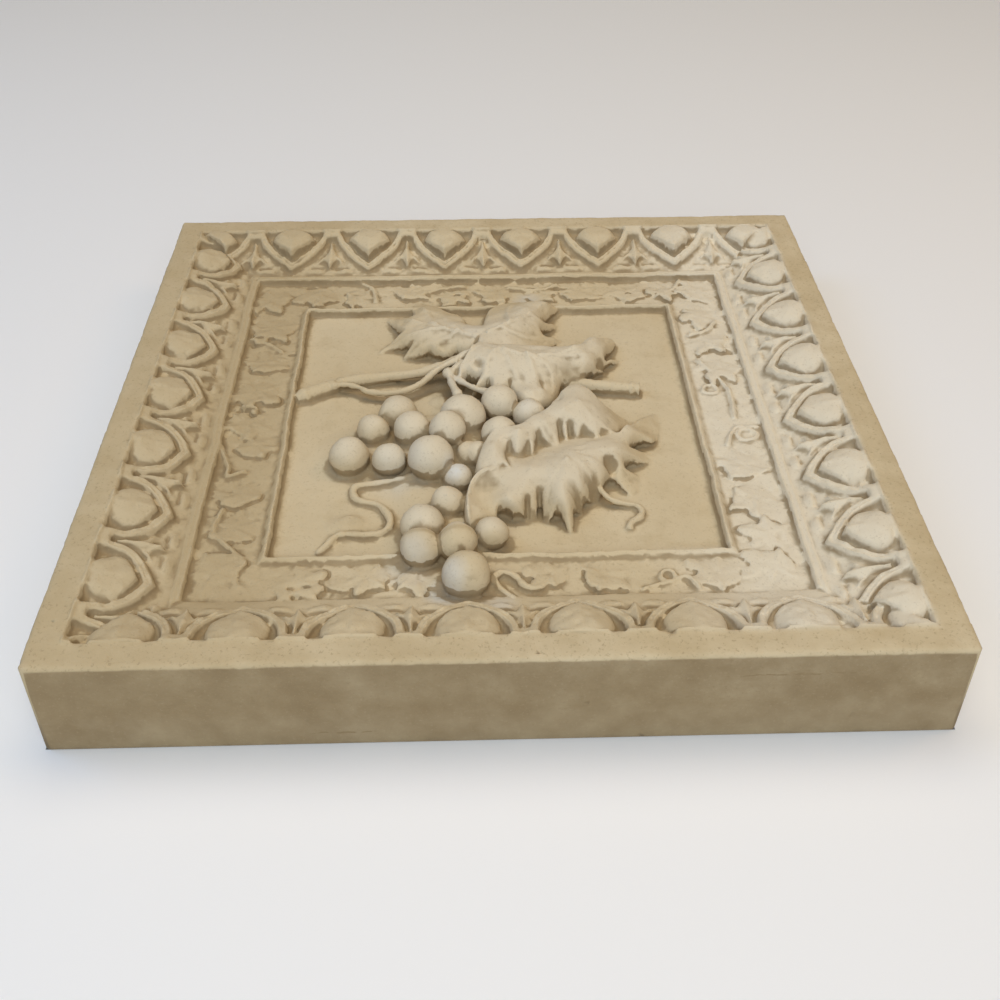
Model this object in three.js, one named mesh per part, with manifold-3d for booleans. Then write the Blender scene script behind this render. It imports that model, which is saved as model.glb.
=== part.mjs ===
// A square wall plaque of cast stone: a raised rim, a sloping egg-and-dart moulding, a low ivy
// frieze, and a bunch of grapes with vine leaves standing out of a plain sunk panel.
// It is cast in one, so it is one solid. Millimetres.
//
// The plaque is laid out on its back as a carver sees it on the bench: x to the right, y up the
// picture, z out of the relief, with z = 0 on the flat back. The last lines stand it on a wall,
// with +Z up the wall and the relief facing -Y.

import * as THREE from 'three';
import { mergeVertices } from 'three/addons/utils/BufferGeometryUtils.js';
import Module from 'manifold-3d';

const wasm = await Module();
wasm.setup();

// ---- driving sizes ----------------------------------------------------------------------------

const SIDE = 305; // the square block
const THICKNESS = 38.5; // back to rim
const RIM_WIDTH = 12;
const EDGE_EASE = 1.5; // the worn outer edge

// The moulding falls in a straight slope from under the rim to the fillet.
const SLOPE_TOP = { a: 139.5, z: 34.5 }; // a is measured from the plaque's centre
const SLOPE_FOOT = { a: 115, z: 27.6 };
const FILLET = { outer: 113.5, inner: 110, z: 28 };
const FRIEZE_Z = 25.2;
const BORDER = { outer: 87, inner: 83.2, z: 26.4 }; // the small bead round the panel
const PANEL_Z = 23;
const BURIED = PANEL_Z - 4; // where the feet of raised work end, inside the block

const PITCH = 37.4; // egg to egg
const MOULDING_TOP = THICKNESS - 0.4; // nothing on the slope stands as high as the rim
const EGG = { a: 132.6, halfLength: 9.2, halfWidth: 7.9, rise: 5.2, point: 0.5, lift: 0.6 };
const HUSK = { halfSpan: 13.6, depth: 21.5, bend: 2.2, halfWidth: 2.6, rise: 3.2, steps: 3 };
// A dart hangs from the post that fills the gap between two husks under the rim.
const DART = {
  post: 2.4, postFoot: 136.5, stem: 1, crown: 125, barb: 6.2, barbFoot: 121.5, tip: 116, rise: 2.4,
};
const MITRE = { near: 80, lap: 0.2 }; // where the mitre cuts start, and how far two runs overlap

// ---- solids -----------------------------------------------------------------------------------

function solid(geometry) {
  geometry.deleteAttribute('normal');
  geometry.deleteAttribute('uv');
  const merged = mergeVertices(geometry);
  const corners = merged.index.array;
  const faces = [];
  for (let i = 0; i < corners.length; i += 3) {
    const [a, b, c] = corners.slice(i, i + 3);
    if (a !== b && b !== c && c !== a) faces.push(a, b, c);
  }
  return new wasm.Manifold(new wasm.Mesh({
    numProp: 3,
    vertProperties: new Float32Array(merged.attributes.position.array),
    triVerts: new Uint32Array(faces),
  }));
}

function geometryOf(body) {
  const mesh = body.getMesh();
  const geometry = new THREE.BufferGeometry();
  geometry.setAttribute('position', new THREE.BufferAttribute(mesh.vertProperties, 3));
  geometry.setIndex(new THREE.BufferAttribute(mesh.triVerts, 1));
  geometry.computeVertexNormals();
  return geometry;
}

function join(bodies) {
  if (bodies.length === 1) return bodies[0];
  const half = Math.ceil(bodies.length / 2);
  return join(bodies.slice(0, half)).add(join(bodies.slice(half)));
}

// Moves every vertex of a geometry by a rule that takes and returns a Vector3.
function reshape(geometry, rule) {
  const position = geometry.attributes.position;
  const point = new THREE.Vector3();
  for (let i = 0; i < position.count; i += 1) {
    point.copy(rule(point.fromBufferAttribute(position, i)));
    position.setXYZ(i, point.x, point.y, point.z);
  }
  return geometry;
}

// A flat outline raised from inside the block to a top that follows a height rule.
function raised(outline, topAt) {
  const shape = new THREE.Shape(outline.map(([x, y]) => new THREE.Vector2(x, y)));
  const plate = new THREE.ExtrudeGeometry(shape, { depth: 1, bevelEnabled: false });
  return solid(reshape(plate, (p) => p.setZ(p.z > 0.5 ? topAt(p.x, p.y) : BURIED)));
}

// A round stem along a smooth line of points.
function stem(points, radius, steps, sides) {
  const section = new THREE.Shape();
  for (let i = 0; i < sides; i += 1) {
    const turn = (i / sides) * 2 * Math.PI;
    const corner = [radius * Math.cos(turn), radius * Math.sin(turn)];
    if (i === 0) section.moveTo(...corner);
    else section.lineTo(...corner);
  }
  const path = new THREE.CatmullRomCurve3(points.map((p) => new THREE.Vector3(...p)));
  return solid(new THREE.ExtrudeGeometry(section, { steps, bevelEnabled: false, extrudePath: path }));
}

// ---- the block with its rim, slope, fillet, frieze ground, border and panel -----------------------

function block() {
  const half = SIDE / 2;
  const rimInner = half - RIM_WIDTH;
  const profile = [
    [0, 0],
    [half, 0],
    [half, THICKNESS - EDGE_EASE],
    [half - EDGE_EASE, THICKNESS],
    [rimInner, THICKNESS],
    [SLOPE_TOP.a, SLOPE_TOP.z],
    [SLOPE_FOOT.a, SLOPE_FOOT.z],
    [FILLET.outer, FILLET.z],
    [FILLET.inner, FILLET.z],
    [FILLET.inner - 0.5, FRIEZE_Z],
    [BORDER.outer, FRIEZE_Z],
    [BORDER.outer - 0.8, BORDER.z],
    [BORDER.inner + 0.8, BORDER.z],
    [BORDER.inner, PANEL_Z],
    [0, PANEL_Z],
  ];
  // A lathe of four segments is a square, with its corners a root of two further out.
  const points = profile.map(([a, z]) => new THREE.Vector2(a * Math.SQRT2, z));
  const square = new THREE.LatheGeometry(points, 4, Math.PI / 4);
  return solid(square.rotateX(Math.PI / 2));
}

// ---- egg and dart -----------------------------------------------------------------------------
// One run is laid along the lower side, s along it and a outwards, so y is -a.

const RIM_FOOT = SIDE / 2 - RIM_WIDTH + 0.5; // just inside the rim's wall

function slopeAt(a) {
  const fall = (SLOPE_TOP.z - SLOPE_FOOT.z) / (SLOPE_TOP.a - SLOPE_FOOT.a);
  return SLOPE_FOOT.z + (a - SLOPE_FOOT.a) * fall;
}

const SLOPE_ANGLE = Math.atan2(SLOPE_TOP.z - SLOPE_FOOT.z, SLOPE_TOP.a - SLOPE_FOOT.a);

function egg(s) {
  const ball = new THREE.SphereGeometry(1, 8, 4);
  reshape(ball, (p) => {
    const narrowing = p.y > 0 ? 1 - EGG.point * p.y : 1;
    return p.set(p.x * EGG.halfWidth * narrowing, p.y * EGG.halfLength, p.z * EGG.rise);
  });
  ball.rotateX(-SLOPE_ANGLE);
  return solid(ball.translate(s, -EGG.a, slopeAt(EGG.a) + EGG.lift));
}

// The husk is a pointed U round the egg: its middle line runs from the rim down to a tip.
function husk(s) {
  const line = (side, offset) => {
    const points = [];
    for (let i = 0; i <= HUSK.steps; i += 1) {
      const way = i / HUSK.steps;
      const reach = (HUSK.halfSpan + offset) * (1 - way ** HUSK.bend);
      const depth = (HUSK.depth + offset) * way;
      points.push([s + side * reach, -(RIM_FOOT - depth)]);
    }
    return points;
  };
  const ring = (offset) => [...line(-1, offset), ...line(1, offset).reverse().slice(1)];
  const outline = [...ring(HUSK.halfWidth), ...ring(-HUSK.halfWidth).reverse()];
  return raised(outline, (x, y) => Math.min(slopeAt(-y) + HUSK.rise, MOULDING_TOP));
}

function dart(s) {
  const { post, postFoot, stem: half, crown, barb, barbFoot, tip, rise } = DART;
  const right = [[post, -RIM_FOOT], [half, -postFoot], [half, -crown], [barb, -barbFoot]];
  const left = right.map(([x, y]) => [-x, y]).reverse();
  const outline = [...right, [0, -tip], ...left].map(([x, y]) => [s + x, y]);
  return raised(outline, (x, y) => Math.min(slopeAt(-y) + rise, MOULDING_TOP));
}

// A run is cut by the mitres at its two corners, wherever its eggs happen to fall.
function run(phase) {
  const pieces = [];
  for (let s = phase - 5 * PITCH; s < SIDE / 2; s += PITCH) {
    pieces.push(egg(s), husk(s), dart(s + PITCH / 2));
  }
  const { near, lap } = MITRE;
  const far = RIM_FOOT + lap;
  const outline = [[-near - lap, -near], [near + lap, -near], [far + lap, -far], [-far - lap, -far]];
  const wedge = raised(outline, () => THICKNESS);
  return join(pieces).intersect(wedge);
}

function moulding() {
  const runs = [
    { turn: 0, phase: 25.9 },
    { turn: 90, phase: 22.9 },
    { turn: 180, phase: -16.8 },
    { turn: 270, phase: -6.1 },
  ];
  return join(runs.map(({ turn, phase }) => run(phase).rotate([0, 0, turn])));
}

// ---- leaves -----------------------------------------------------------------------------------

// How far out the edge runs in between two tips, as a share of the nearer tip's reach: neighbouring
// teeth keep a shallow notch, and lobes that stand wide apart a deep one.
const NOTCH = { least: 0.2, most: 0.88, wide: THREE.MathUtils.degToRad(200), drop: 1.2 };
const vineNotch = (gap) => Math.max(NOTCH.least, NOTCH.most - gap / NOTCH.wide);

// A leaf is a fan of creased lobes round its heart. Points are [x, y, height above the panel].
function leaf(heart, tips, notchReach, notchDrop) {
  const polar = tips.map(([x, y, height]) => ({
    turn: Math.atan2(y - heart[1], x - heart[0]),
    reach: Math.hypot(x - heart[0], y - heart[1]),
    height,
  }));
  polar.sort((one, other) => one.turn - other.turn);
  const edge = polar.flatMap((tip, i) => {
    const next = polar[(i + 1) % polar.length];
    const gap = (next.turn - tip.turn + 2 * Math.PI) % (2 * Math.PI);
    const share = notchReach(gap);
    const height = THREE.MathUtils.lerp(heart[2], (tip.height + next.height) / 2, share) - notchDrop;
    return [tip, { turn: tip.turn + gap / 2, reach: share * Math.min(tip.reach, next.reach), height }];
  });
  const outline = edge.map(({ turn, reach, height }) => [
    heart[0] + Math.cos(turn) * reach,
    heart[1] + Math.sin(turn) * reach,
    height,
  ]);
  const top = [heart, ...outline].map(([x, y, height]) => [x, y, PANEL_Z + height]);
  const foot = [heart, ...outline].map(([x, y]) => [x, y, BURIED]);
  const count = outline.length;
  const faces = [];
  for (let i = 1; i <= count; i += 1) {
    const here = i;
    const next = (i % count) + 1;
    const below = count + 1;
    faces.push(0, here, next);
    faces.push(below, below + next, below + here);
    faces.push(here, below + here, below + next);
    faces.push(here, below + next, next);
  }
  const geometry = new THREE.BufferGeometry();
  geometry.setAttribute('position', new THREE.Float32BufferAttribute([...top, ...foot].flat(), 3));
  geometry.setIndex(faces);
  return solid(geometry);
}

// Each big leaf spreads from its heart, where the veins meet, to the tips round its edge.
const LEAVES = {
  upperLeft: {
    heart: [-20, 55, 11.5],
    tips: [
      [-49, 48, 3.5], [-38, 41.5, 4.5], [-46, 75, 4.5], [-34.5, 87, 4.5], [-26, 84, 5.5], [-17, 76, 5.5],
      [-8, 62, 8], [-5, 46, 12], [-12, 40.5, 10], [-25, 42, 8.5],
    ],
  },
  upperRight: {
    heart: [8, 58, 13],
    tips: [
      [33, 83, 5.5], [24, 84, 7], [13, 85, 7], [2, 82, 7], [-3, 60, 10], [-5, 42, 13], [12, 38.5, 11],
      [22, 39, 8], [31, 54, 5], [30, 67, 5],
    ],
  },
  middleRight: {
    heart: [18, 21, 14.5],
    tips: [
      [54, 50, 8.5], [55, 35, 7], [48, 26, 6.5], [38, 17, 9], [28, 11.5, 8], [19, 10.5, 9], [8, 9, 10],
      [1, 8, 10], [-7.5, 10, 8], [-14, 19, 10], [-10, 34, 13], [5, 34, 15], [24, 28, 14.5],
    ],
  },
  centre: {
    heart: [27, -14, 17],
    tips: [
      [32.5, 8.5, 13], [42, 3, 14], [51, -5.5, 6], [49, -23, 9], [41.5, -28, 11], [36.5, -30, 10.5],
      [33, -30, 11], [28.5, -30, 11], [25, -36, 10], [14, -39, 10], [9, -40, 12], [3, -33, 15],
      [9, -24, 15], [22, -10, 15],
    ],
  },
  centreLeft: {
    heart: [4, -36, 15.5],
    tips: [[0.5, -51, 11], [-8, -48, 11], [8, -53, 11], [-4, -29, 13], [14, -30, 14], [15, -44, 13]],
  },
  lower: {
    heart: [25, -43, 14.5],
    tips: [
      [65.5, -4, 5], [66, -15, 4.5], [64, -28, 4], [58, -42, 4.5], [52.5, -57, 3.5], [38, -62, 5],
      [32.5, -67.5, 5], [27, -76, 2.5], [18.5, -72, 4], [12, -71.5, 5], [0, -71, 6], [-10, -76.5, 6.5],
      [-12, -64, 11], [-9, -53, 12.5], [6, -26, 14], [46, -16, 11],
    ],
  },
};

function leaves() {
  return join(Object.values(LEAVES).map(({ heart, tips }) => leaf(heart, tips, vineNotch, NOTCH.drop)));
}

// ---- grapes on their mound ----------------------------------------------------------------------

// [x, y, height of the middle above the panel, radius]
const GRAPES = [
  [-57.4, -31.8, 4.4, 8], [-41.6, -34.8, 5.2, 6.8], [-48.8, -13.5, 3.6, 6.8], [-39.3, -1.9, 3, 8.2],
  [-32.7, -17.3, 6.8, 7.6], [-24.8, -38, 8.4, 8.9], [-18.8, -23.1, 11.2, 7.3], [-12.5, -11.5, 8.6, 8.8],
  [2.5, -1.9, 8.8, 7.4], [2.1, -23.6, 8.6, 7.2], [14, -9, 5.8, 6.6], [-10.2, -31.3, 4.8, 5.5],
  [-6.7, -32.7, 6.2, 5.3], [-14.8, -45.5, 3.8, 6], [-18.5, -62.3, 5.6, 6.4], [-27.5, -74.7, 4.8, 8.3],
  [-28, -88.1, 6.2, 7.6], [-14.7, -86.8, 7.2, 7.5], [-2.5, -79.9, 5.2, 6.4], [-11.7, -103.9, 7, 8.6],
];

// Soft swellings that fill the hollows under the bunch: [x, y, half width, half height, rise].
const MOUNDS = [
  [-16, -22, 34, 24, 8],
  [-18, -82, 18, 24, 6],
  [-24, -54, 14, 22, 4],
];

function grapes() {
  const balls = GRAPES.map(([x, y, height, radius]) => (
    solid(new THREE.SphereGeometry(radius, 8, 6).rotateX(Math.PI / 2).translate(x, y, PANEL_Z + height))
  ));
  const mounds = MOUNDS.map(([x, y, halfWidth, halfHeight, rise]) => {
    const dome = new THREE.SphereGeometry(1, 9, 5).rotateX(Math.PI / 2);
    return solid(dome.scale(halfWidth, halfHeight, rise).translate(x, y, PANEL_Z - 0.5));
  });
  return join([...balls, ...mounds]);
}

// ---- branch, stems and tendrils -----------------------------------------------------------------

// Each is a line of points [x, y, height above the panel], with a radius.
const STEMS = [
  {
    name: 'twig', radius: 2.3, steps: 6, sides: 6,
    points: [[-83, 15, 2], [-73, 19.5, 3], [-62, 23.5, 3.5], [-46, 25, 4], [-30, 28, 5], [-14, 32, 7]],
  },
  {
    name: 'shoot', radius: 1.3, steps: 7, sides: 5,
    points: [[-65, 20, 3.5], [-52, 15, 4.5], [-41, 13.6, 5], [-31, 18, 6], [-20, 26, 8], [-12, 31, 9]],
  },
  { name: 'left stem', radius: 1.6, steps: 2, sides: 5, points: [[-18.5, 23, 8], [-17, 12, 10], [-14, 0, 11]] },
  { name: 'right stem', radius: 1.5, steps: 2, sides: 5, points: [[-18, 21, 8], [-8, 9, 9], [1, 2, 10]] },
  { name: 'branch end', radius: 3.1, steps: 1, sides: 8, points: [[18, 29, 4.5], [64, 11, 4.5]] },
  {
    name: 'left tendril', radius: 1.3, steps: 10, sides: 4,
    points: [
      [-33, -41, 1], [-44, -43.5, 1], [-54, -47, 1], [-52, -54, 1], [-43.5, -59, 1], [-40, -67, 1],
      [-44, -73.5, 1], [-58, -74.5, 1], [-66, -84, 1],
    ],
  },
  {
    name: 'right tendril', radius: 1.2, steps: 8, sides: 4,
    points: [
      [36, -50, 6], [42, -57, 3], [50, -61.5, 2], [56, -65, 2], [54, -72, 2], [49, -73.5, 2], [49, -69.5, 2],
    ],
  },
  {
    name: 'lower tendril', radius: 1.3, steps: 6, sides: 4,
    points: [[-5, -104, 4], [0, -98.5, 4], [5, -100, 3.6], [10, -106, 3.4], [16, -104, 3.2]],
  },
];

function stems() {
  return join(STEMS.map(({ radius, steps, sides, points }) => (
    stem(points.map(([x, y, height]) => [x, y, PANEL_Z + height]), radius, steps, sides)
  )));
}

// ---- ivy of the frieze --------------------------------------------------------------------------

// [x, y, direction of the middle lobe in degrees, length of that lobe]
const IVY = [
  [-101, 97, 240, 14], [-78, 98, 200, 12], [-52, 99, 110, 12], [40, 99, 60, 12],
  [72, 98, 120, 13], [98, 96, 60, 14], [99, 56, 250, 13], [99, 28, 230, 12], [97, -38, 100, 13],
  [97, -62, 280, 13], [98, -92, 200, 13], [76, -99, 150, 13], [38, -99, 20, 11], [-46, -98, 200, 13],
  [-74, -99, 320, 13], [-99, -92, 250, 14], [-98, -60, 100, 13], [-99, -12, 280, 12], [-99, 16, 260, 14],
  [-97, 70, 240, 14],
];
const IVY_LOBES = [[0, 1], [55, 0.82], [-55, 0.82], [112, 0.66], [-112, 0.66]]; // turn and reach
const IVY_RISE = { heart: 4.4, tip: 3.4 }; // above the panel: the frieze's ground is at 2.2
const IVY_NOTCH = { wide: THREE.MathUtils.degToRad(90), atStem: 0.25, reach: 0.84, drop: 0.3 };
const ivyNotch = (gap) => (gap > IVY_NOTCH.wide ? IVY_NOTCH.atStem : IVY_NOTCH.reach);

function ivy() {
  return join(IVY.map(([x, y, direction, length]) => {
    const limit = FILLET.inner - 1;
    const tips = IVY_LOBES.map(([turn, reach]) => {
      const way = THREE.MathUtils.degToRad(direction + turn);
      const tip = [x + Math.cos(way) * length * reach, y + Math.sin(way) * length * reach];
      return [...tip.map((value) => THREE.MathUtils.clamp(value, -limit, limit)), IVY_RISE.tip];
    });
    return leaf([x, y, IVY_RISE.heart], tips, ivyNotch, IVY_NOTCH.drop);
  }));
}

// ---- the plaque -----------------------------------------------------------------------------------

const castStone = new THREE.MeshStandardMaterial({
  color: new THREE.Color(0.72, 0.65, 0.5),
  roughness: 0.9,
  metalness: 0,
});

const body = join([block(), moulding(), leaves(), grapes(), stems(), ivy()]);
const plaque = new THREE.Mesh(geometryOf(body), castStone);
plaque.name = 'plaque';

const group = new THREE.Group();
group.add(plaque);
group.rotation.x = Math.PI / 2; // from the bench to the wall

export default group;
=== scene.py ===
# A square wall plaque of cast stone, made in one: a raised rim, an egg-and-dart moulding, a low
# ivy frieze, and grapes with vine leaves on a sunk panel. It lies on its back on a white table.
# Sizes are in millimetres as a carver sees the model on the bench: x to the right, y up the
# plaque, z out from the flat back. The finished casting is turned to its place in the room.

import math

import bmesh
import bpy
import numpy as np
from mathutils import Matrix, Vector


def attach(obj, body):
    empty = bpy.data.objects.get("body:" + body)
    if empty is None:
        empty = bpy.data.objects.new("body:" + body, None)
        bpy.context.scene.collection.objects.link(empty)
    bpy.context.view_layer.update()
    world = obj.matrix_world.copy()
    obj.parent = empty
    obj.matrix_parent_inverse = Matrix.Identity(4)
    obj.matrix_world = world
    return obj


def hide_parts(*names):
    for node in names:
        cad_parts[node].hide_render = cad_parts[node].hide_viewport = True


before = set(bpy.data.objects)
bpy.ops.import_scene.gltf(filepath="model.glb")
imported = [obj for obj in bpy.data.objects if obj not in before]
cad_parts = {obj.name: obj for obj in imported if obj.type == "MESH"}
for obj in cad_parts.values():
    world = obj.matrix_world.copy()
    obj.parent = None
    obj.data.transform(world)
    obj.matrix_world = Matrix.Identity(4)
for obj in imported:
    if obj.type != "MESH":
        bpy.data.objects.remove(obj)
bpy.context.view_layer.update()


# ---- Camera ------------------------------------------------------------------------------------
# It looks down on the lying plaque from in front of its lower edge, a little left of the middle.

CAMERA_PLACE = (-0.00863, -0.32080, -0.41782)
CAMERA_TURNS = (("X", 90), ("Z", -1.58), ("X", 50.69), ("Z", -0.03))  # degrees, outermost first

camera = bpy.data.objects.new("camera", bpy.data.cameras.new("camera"))
camera.data.lens = 44.18
camera.data.sensor_width = 36
camera.data.clip_start = 0.01
stand = Matrix.Translation(CAMERA_PLACE)
for axis, degrees in CAMERA_TURNS:
    stand = stand @ Matrix.Rotation(math.radians(degrees), 4, axis)
camera.matrix_world = stand
bpy.context.scene.collection.objects.link(camera)
bpy.context.scene.camera = camera


# ---- Table -------------------------------------------------------------------------------------
# A smooth white table top, just behind the plaque's back. It is open under the plaque, and clear
# from below, so that the plaque's own back can be lit and seen.

TABLE_SIDE = 6.0
TABLE_GAP = 0.0004
TABLE_OPENING = 0.1518  # half the width of the opening
TABLE_WHITE = (0.86, 0.86, 0.86)
TABLE_ROUGHNESS = 0.6


class Value:
    """A shader socket that can be used in sums like a number."""

    def __init__(self, tree, socket):
        self.tree = tree
        self.socket = socket

    def node(self, kind, settings=(), inputs=(), output=0):
        """Adds a node: its kind, its settings first, then the values or links of its sockets."""
        made = self.tree.nodes.new("ShaderNode" + kind)
        for name, setting in dict(settings).items():
            setattr(made, name, setting)
        for name, value in dict(inputs).items():
            socket = made.inputs[name]
            if isinstance(value, Value):
                self.tree.links.new(value.socket, socket)
            elif socket.type == "RGBA":
                socket.default_value = (*value, 1)
            else:
                socket.default_value = value
        return Value(self.tree, made.outputs[output] if made.outputs else None)

    def sum(self, operation, one, other=0.0):
        """A Math node on one value or two."""
        return self.node("Math", {"operation": operation}, {0: one, 1: other})

    def __add__(self, other):
        return self.sum("ADD", self, other)

    def __mul__(self, other):
        return self.sum("MULTIPLY", self, other)

    def __sub__(self, other):
        return self.sum("SUBTRACT", self, other)

    def __rsub__(self, other):
        return self.sum("SUBTRACT", other, self)

    __radd__ = __add__
    __rmul__ = __mul__

    def between(self, low, high):
        """0 where this is under low, 1 where it is over high, and smooth in between."""
        inputs = {"Value": self, "From Min": low, "From Max": high}
        return self.node("MapRange", {"interpolation_type": "SMOOTHSTEP"}, inputs)

    def blend(self, one, other):
        """One colour where this is 0, and the other where it is 1."""
        return self.node("Mix", {"data_type": "RGBA"}, {0: self, 6: one, 7: other}, output=2)


def new_finish(name):
    """An empty material, and the value that its nodes are made from."""
    finish = bpy.data.materials.new(name)
    finish.use_nodes = True
    finish.node_tree.nodes.clear()
    return finish, Value(finish.node_tree, None)


table_finish, nodes = new_finish("white_table_top")
gloss = nodes.node("BsdfPrincipled", {}, {"Base Color": TABLE_WHITE, "Roughness": TABLE_ROUGHNESS})
clear = nodes.node("BsdfTransparent")
behind = nodes.node("NewGeometry", output="Backfacing")
seen = nodes.node("MixShader", {}, {0: behind, 1: gloss, 2: clear})
nodes.node("OutputMaterial", {}, {"Surface": seen})

build = bmesh.new()
lying = Matrix.Translation((0, TABLE_GAP, 0)) @ Matrix.Rotation(math.radians(90), 4, "X")
bmesh.ops.create_grid(build, x_segments=3, y_segments=3, size=TABLE_SIDE / 2)
covered = min(build.faces, key=lambda face: face.calc_center_median().length)
for corner in build.verts:
    for axis in (0, 1):
        if abs(corner.co[axis]) < TABLE_SIDE / 3:
            corner.co[axis] = math.copysign(TABLE_OPENING, corner.co[axis])
bmesh.ops.delete(build, geom=[covered], context="FACES_ONLY")
bmesh.ops.transform(build, matrix=lying, verts=build.verts)
table = bpy.data.objects.new("table_top", bpy.data.meshes.new("table_top"))
build.to_mesh(table.data)
build.free()
table.data.materials.append(table_finish)
bpy.context.scene.collection.objects.link(table)


# ---- Light -------------------------------------------------------------------------------------
# Soft daylight in a pale room: wide panes of light overhead and ahead, a little warmth from the
# right, a little blue from the left, and a pane under the table that lights the plaque's back.

# Each pane of light: its place, width, power and colour. All of them look at the plaque.
WINDOWS = {
    "window_right": ((0.80, -0.95, 0.10), 0.45, 1.6, (1, 0.60, 0.25)),
    "window_left": ((-0.85, -0.95, 0.10), 0.55, 2.6, (0.40, 0.60, 1)),
    "overhead": ((0.0, -1.9, 0.5), 1.6, 15, (1, 0.87, 0.66)),
    "behind": ((0.6, 1.3, 0.8), 1.2, 14, (1, 0.95, 0.88)),
    "ahead": ((0.0, -1.2, -1.3), 1.6, 22.5, (0.86, 0.93, 1)),
}
ROOM_COLOUR = (0.93, 0.95, 1.0)
ROOM_STRENGTH = 0.10

for name, (place, width, power, colour) in WINDOWS.items():
    lamp = bpy.data.lights.new(name, "AREA")
    lamp.shape = "DISK"
    lamp.size = width
    lamp.energy = power
    lamp.color = colour
    light = bpy.data.objects.new(name, lamp)
    light.location = place
    light.rotation_euler = (-Vector(place)).to_track_quat("-Z", "Y").to_euler()
    bpy.context.scene.collection.objects.link(light)

room = bpy.data.worlds.new("room")
room.use_nodes = True
air = room.node_tree.nodes["Background"].inputs
air["Color"].default_value = (*ROOM_COLOUR, 1)
air["Strength"].default_value = ROOM_STRENGTH
bpy.context.scene.world = room
bpy.context.scene.view_settings.view_transform = "Standard"


# ---- Block with its rim, slope, fillet, frieze ground, border and panel --------------------------
# The carver's block, a square with chipped and worn edges. Its front is a fine grid of points whose
# heights are worked out, and its sides and back are drawn out of the grid's edge.

SIDE = 305.0
THICKNESS = 38.5
RIM_WIDTH = 12.0
PANEL_Z = 23.0
FRIEZE_Z = 25.2
FRIEZE_INNER, FRIEZE_OUTER = 87.3, 109.4
GRID_STEPS = 680
# Heights from the panel's middle out to the rim's edge: distance from the centre, and height.
PROFILE = (
    (0, PANEL_Z), (82.8, PANEL_Z), (83.4, 25.9), (83.9, 26.9), (84.5, 27.0), (86.6, 24.9),
    (109.6, 25.1), (110.0, 27.4), (110.5, 28.4), (111.2, 28.4), (111.8, 27.5), (112.4, 28.2),
    (113.2, 28.1), (113.9, 27.0), (116, 27.5), (139.8, 35.0), (140.4, 38.1), (141.2, THICKNESS),
    (150.4, THICKNESS), (151.5, 38.2), (152.1, 37.6), (152.5, 36.9),
)
BORDER_INNER, BORDER_OUTER = 82.6, 87.6  # the narrow raised border round the panel
PANEL_LOW = 4.6  # the panel reaches this much lower than it reaches to the other sides
FILLET_WEAR = {"upper": 0.05, "right": 0.3, "left": 0.3, "lower": 0.85}  # share worn away
WORN_FILLET_Z, WORN_FILLET_SLOPE = 25.2, 0.4  # where it is worn away: its height, and its slope
# Unevenness is stated as layers of lumps: their depth, their size, and a seed.
LINE_WANDER = ((0.45, 22, 3), (0.2, 5, 5))  # how far hand-cut lines stray
FACE_LUMPS = ((0.16, 14, 8), (0.06, 3, 9))
BORDER_CHIPPING = (0.3, 2.6, 10)
LATTICE = 32  # the lumps repeat after this many
TOUCH = 1e-6  # two distances this close are the same


def ease(low, high, value):
    """0 under low, 1 over high, and smooth in between."""
    share = np.clip((value - low) / (high - low), 0, 1)
    return share * share * (3 - 2 * share)


def cloud(points, size, seed):
    """Smooth uneven values from -1 to 1 over points, with `size` from lump to lump."""
    lattice = np.random.default_rng(seed).uniform(-1, 1, (LATTICE, LATTICE, LATTICE))
    cell = np.floor(points / size).astype(int)
    part = points / size - cell
    part = part * part * (3 - 2 * part)
    total = np.zeros(len(points))
    for corner in np.ndindex(2, 2, 2):
        share = np.prod(np.where(corner, part, 1 - part), axis=1)
        i, j, k = ((cell + corner) % LATTICE).T
        total += share * lattice[i, j, k]
    return total


def lumps(points, layers, later=0):
    """Layers of lumps, one over the other; `later` is added to their seeds."""
    return sum(depth * cloud(points, size, seed + later) for depth, size, seed in layers)


model = bmesh.new()
bmesh.ops.create_grid(model, x_segments=GRID_STEPS, y_segments=GRID_STEPS, size=SIDE / 2)
front = np.array([v.co for v in model.verts])
strayed = front.copy()
for axis in (0, 1):
    strayed[:, axis] += lumps(front, LINE_WANDER, axis)
inward = ease(0, RIM_WIDTH, SIDE / 2 - np.abs(front).max(1))[:, None]
strayed = front + (strayed - front) * inward  # the outer edge itself stays straight
x, y = strayed[:, 0], strayed[:, 1]
sides = {"upper": y, "lower": -y, "left": -x, "right": x}
out = np.maximum(np.abs(x), np.abs(y))  # distance from the centre, square by square
low_y = y + PANEL_LOW * ease(60, 80, -y) * ease(107, 94, -y)  # as if the panel were centred
from_middle = np.maximum(np.abs(x), np.abs(low_y))
heights = np.interp(from_middle, *zip(*PROFILE))
for name, reach in sides.items():
    fillet = ease(108.5, 110, out) * ease(115, 114, out) * (reach >= out - TOUCH)
    worn_down = WORN_FILLET_Z + WORN_FILLET_SLOPE * (out - 109.6).clip(0, 5)
    heights += FILLET_WEAR[name] * fillet * (worn_down - heights)
heights += lumps(front, FACE_LUMPS)
chipping = lumps(front, [BORDER_CHIPPING])
heights += (
    chipping * ease(BORDER_INNER, BORDER_INNER + 0.8, from_middle)
    * ease(BORDER_OUTER, BORDER_OUTER - 1.6, from_middle)
)


# ---- Egg and dart ------------------------------------------------------------------------------
# The moulding on the slope: eggs in pointed husks, with a three-pointed dart between each two. Each
# of its four runs is cut off at the mitres wherever its eggs fall.

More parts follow.
